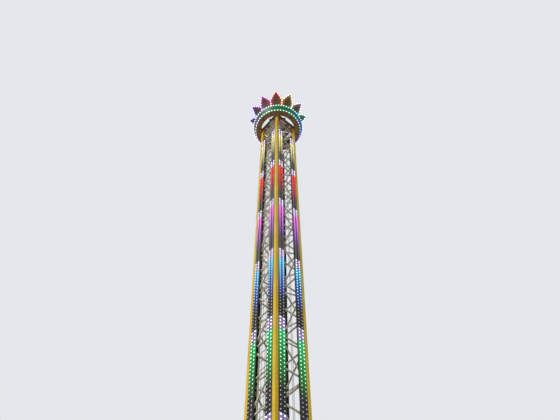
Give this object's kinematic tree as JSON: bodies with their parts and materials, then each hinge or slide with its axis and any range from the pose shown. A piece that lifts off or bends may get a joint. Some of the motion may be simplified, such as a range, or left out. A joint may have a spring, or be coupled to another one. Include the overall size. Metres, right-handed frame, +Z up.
{
  "type": "drop tower ride",
  "caption": "Drop tower ride with a yellow-posted lattice tower, light boards up its faces, a petal crown with a flared rim, and a ring gondola of outward seats parked at the foot.",
  "frame": {"origin": "under the middle of the tower, on the underside of the crossing base beams, at ground level", "axes": "+Z up the tower, +X and +Y square to its faces; the front face looks along -Y and the left face along -X"},
  "size_m": [3, 3, 23.252],
  "materials": {
    "post_yellow": "gloss paint",
    "base_paint": "satin paint",
    "lattice_cream": "satin paint",
    "board_black": "matt powder coat",
    "galvanised": "galvanised",
    "machine_steel": "satin paint",
    "rope_steel": "greased wire",
    "stop_red": "polyurethane",
    "head_bronze": "satin paint",
    "fascia_dark": "satin paint",
    "petal_bronze": "satin paint",
    "panel_cream": "satin paint",
    "roller_black": "polyurethane",
    "seat_blue": "gloss moulding",
    "restraint_red": "skinned foam"
  },
  "bodies": {
    "root": {"base_frame": "base_paint", "post_front_left": "post_yellow", "post_front_right": "post_yellow", "post_back_left": "post_yellow", "post_back_right": "post_yellow", "lattice_front": "lattice_cream", "lattice_right": "lattice_cream", "lattice_back": "lattice_cream", "lattice_left": "lattice_cream", "board_front_left": "board_black", "board_front_right": "board_black", "board_right_left": "board_black", "board_right_right": "board_black", "board_back_left": "board_black", "board_back_right": "board_black", "board_left_left": "board_black", "board_left_right": "board_black", "ladder": "lattice_cream", "stop_blocks": "stop_red", "head_frame": "head_bronze", "head_deck": "galvanised", "sheaves": "machine_steel", "hoist_ropes": "rope_steel", "hoist_unit": "machine_steel", "crown_soffit": "head_bronze", "crown_gussets": "head_bronze", "crown_fascia": "fascia_dark", "crown_deck": "head_bronze", "crown_petals": "petal_bronze", "petal_hoop": "galvanised", "gondola_frame": "post_yellow", "gondola_panels": "panel_cream", "guide_rollers": "roller_black", "seats_front": "seat_blue", "seats_right": "seat_blue", "seats_back": "seat_blue", "seats_left": "seat_blue", "restraints_front": "restraint_red", "restraints_right": "restraint_red", "restraints_back": "restraint_red", "restraints_left": "restraint_red"}
  },
  "joints": []
}
